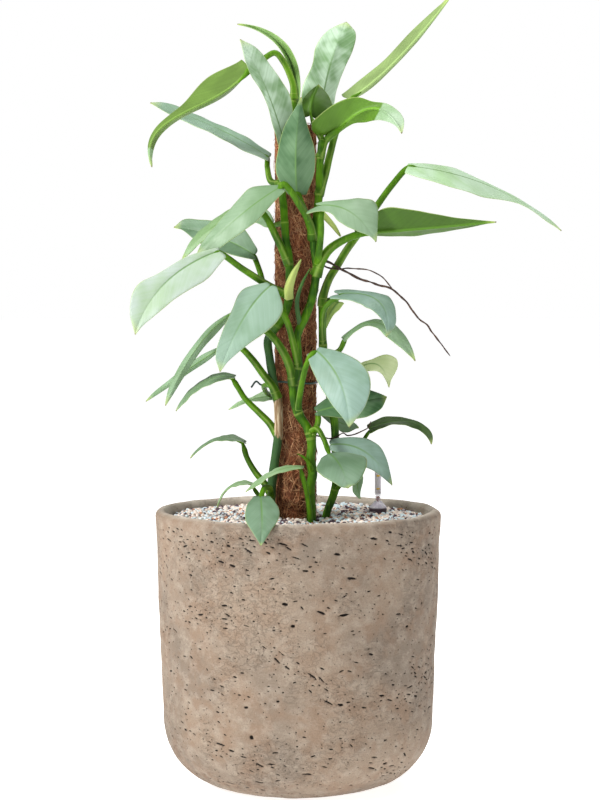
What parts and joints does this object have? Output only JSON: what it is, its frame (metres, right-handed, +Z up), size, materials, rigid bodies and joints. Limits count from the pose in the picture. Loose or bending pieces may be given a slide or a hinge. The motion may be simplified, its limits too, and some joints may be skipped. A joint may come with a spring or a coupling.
{
  "type": "potted silver queen philodendron",
  "caption": "Climbing houseplant with long silver-green arrowhead leaves on a coir pole, standing in a straight-sided fibre-clay pot filled with mineral granules.",
  "frame": {"origin": "centre of the pot's flat base", "axes": "+Z up along the pot's axis, +X to the right and -Y towards the viewer, as the picture shows the plant from its front"},
  "size_m": [0.4229, 0.2906, 0.7736],
  "materials": {
    "clay": "matte",
    "granule_stone": "matte",
    "potting_soil": "matte",
    "coir_fibre": "matte",
    "pole_wood": "matte",
    "tie_coating": "matte",
    "dark_plastic": "satin",
    "clear_plastic": "gloss",
    "red_plastic": "satin",
    "stem_flesh": "satin",
    "root_skin": "matte",
    "leaf_silver": "satin",
    "leaf_green": "satin",
    "leaf_young": "satin"
  },
  "bodies": {
    "root": {"pot": "clay", "gauge_shaft": "dark_plastic", "gauge_collar": "dark_plastic", "gauge_cone": "clear_plastic", "gauge_tube": "clear_plastic", "gauge_float": "red_plastic", "granules": "granule_stone", "root_ball": "potting_soil", "pole_coir": "coir_fibre", "pole_core": "pole_wood", "tie_wire": "tie_coating", "stem_left": "stem_flesh", "stem_centre": "stem_flesh", "stem_right": "stem_flesh", "aerial_roots_long": "root_skin", "aerial_root_low": "root_skin", "leaf_top_right": "leaf_green", "leaf_top_upright": "leaf_silver", "leaf_top_left": "leaf_silver", "leaf_newest_curled": "leaf_silver", "leaf_top_back": "leaf_green", "leaf_upper_left_drooping": "leaf_green", "leaf_upper_left_back": "leaf_silver", "leaf_centre_spear": "leaf_silver", "leaf_upper_right_arching": "leaf_green", "leaf_left_front_silver": "leaf_silver", "leaf_left_front_under": "leaf_silver", "leaf_far_left": "leaf_silver", "leaf_left_back_grey": "leaf_silver", "leaf_left_back_small": "leaf_silver", "leaf_middle_left_broad": "leaf_silver", "leaf_middle_left_folded": "leaf_silver", "leaf_middle_left_narrow": "leaf_silver", "leaf_low_left_side": "leaf_silver", "leaf_low_left_back": "leaf_silver", "leaf_front_broad": "leaf_silver", "leaf_behind_front_broad": "leaf_silver", "leaf_right_arching_thin": "leaf_silver", "leaf_right_hooked": "leaf_silver", "leaf_right_small_yellow": "leaf_young", "leaf_right_silver": "leaf_silver", "leaf_far_right_long": "leaf_silver", "leaf_right_underside": "leaf_green", "leaf_low_right_wavy": "leaf_green", "leaf_low_right_broad": "leaf_silver", "leaf_low_heart": "leaf_silver", "leaf_low_spur": "leaf_silver", "leaf_low_back_pale": "leaf_silver", "leaf_lower_left_arched": "leaf_silver", "leaf_low_centre_narrow": "leaf_silver", "leaf_over_rim": "leaf_silver", "leaf_over_granules": "leaf_silver", "leaf_right_pale": "leaf_young"}
  },
  "joints": []
}
